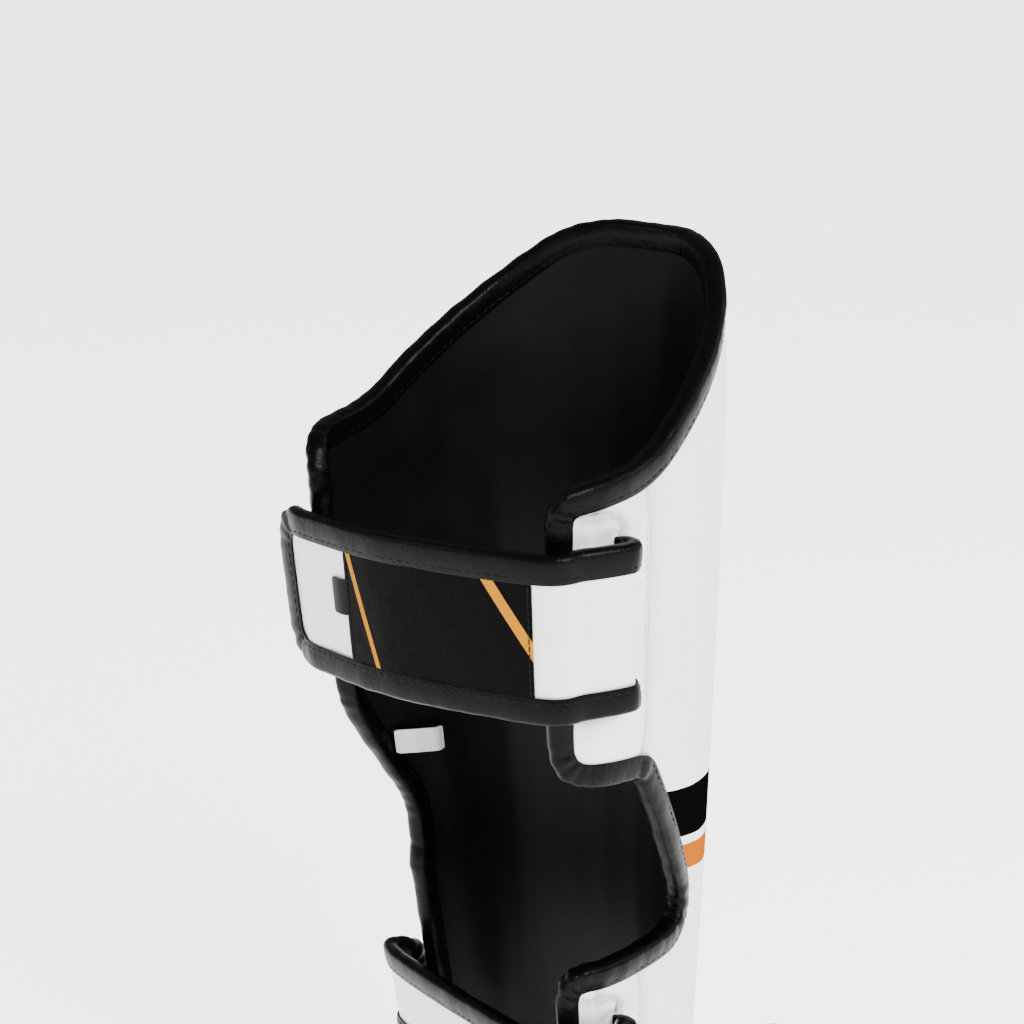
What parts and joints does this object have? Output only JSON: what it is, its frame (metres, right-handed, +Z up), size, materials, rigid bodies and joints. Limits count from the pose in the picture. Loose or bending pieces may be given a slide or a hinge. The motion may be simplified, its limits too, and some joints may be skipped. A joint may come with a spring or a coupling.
{
  "type": "shin guard",
  "caption": "Padded shin and instep guard with an open back, wings closed by hook-and-loop calf straps, a flexing ankle and an elastic sling under the foot.",
  "frame": {"origin": "middle of the bounding box on the floor that the instep section stands on", "axes": "+Z up the shin, -Y toward the toes, +Y out of the open back, +X toward the wing that the straps close on"},
  "size_m": [0.168, 0.3202, 0.4945],
  "materials": {
    "white_leather": "smooth gloss",
    "black_leather": "semi-gloss",
    "dense_foam": "closed-cell foam, matte",
    "soft_foam": "foam sheet, matte",
    "lining_cloth": "satin",
    "fastener_tape": "looped pile",
    "elastic_band": "woven elastic",
    "label_ribbon": "satin ribbon"
  },
  "bodies": {
    "shin": {"shin_front_cover": "white_leather", "left_wing_cover": "white_leather", "right_upper_wing_cover": "white_leather", "right_lower_wing_cover": "white_leather", "shin_front_pad": "dense_foam", "shin_body_foam": "soft_foam", "shin_lining": "lining_cloth", "shin_edge_binding": "black_leather", "upper_strap_base": "white_leather", "lower_strap_base": "white_leather", "upper_loop_patch": "fastener_tape", "lower_loop_patch": "fastener_tape", "care_label": "label_ribbon", "ankle_hinge_bead": "black_leather"},
    "upper_strap": {"upper_strap_cover": "white_leather", "upper_strap_backing": "lining_cloth", "upper_strap_binding": "black_leather", "upper_strap_hook_patch": "fastener_tape", "upper_strap_panel": "black_leather", "upper_strap_size_label": "black_leather"},
    "lower_strap": {"lower_strap_cover": "white_leather", "lower_strap_backing": "lining_cloth", "lower_strap_binding": "black_leather", "lower_strap_hook_patch": "fastener_tape"},
    "instep": {"instep_cover": "white_leather", "instep_foam": "soft_foam", "instep_lining": "lining_cloth", "instep_binding": "black_leather", "foot_strap": "elastic_band"}
  },
  "joints": [
    {"name": "upper_strap_swing", "type": "hinge", "parent": "shin", "child": "upper_strap", "pos_m": [-0.07658, 0.11754, 0.3619], "axis": [-0.042, 0.0707, 0.9966], "range_deg": [0, 150]},
    {"name": "lower_strap_swing", "type": "hinge", "parent": "shin", "child": "lower_strap", "pos_m": [-0.06386, 0.09738, 0.1663], "axis": [-0.0797, 0.1354, 0.9876], "range_deg": [0, 150]},
    {"name": "ankle_flex", "type": "hinge", "parent": "shin", "child": "instep", "pos_m": [0.00358, -0.00777, 0.0896], "axis": [1, 0, 0], "range_deg": [-10, 20], "stiffness_Nm_per_rad": 6}
  ]
}
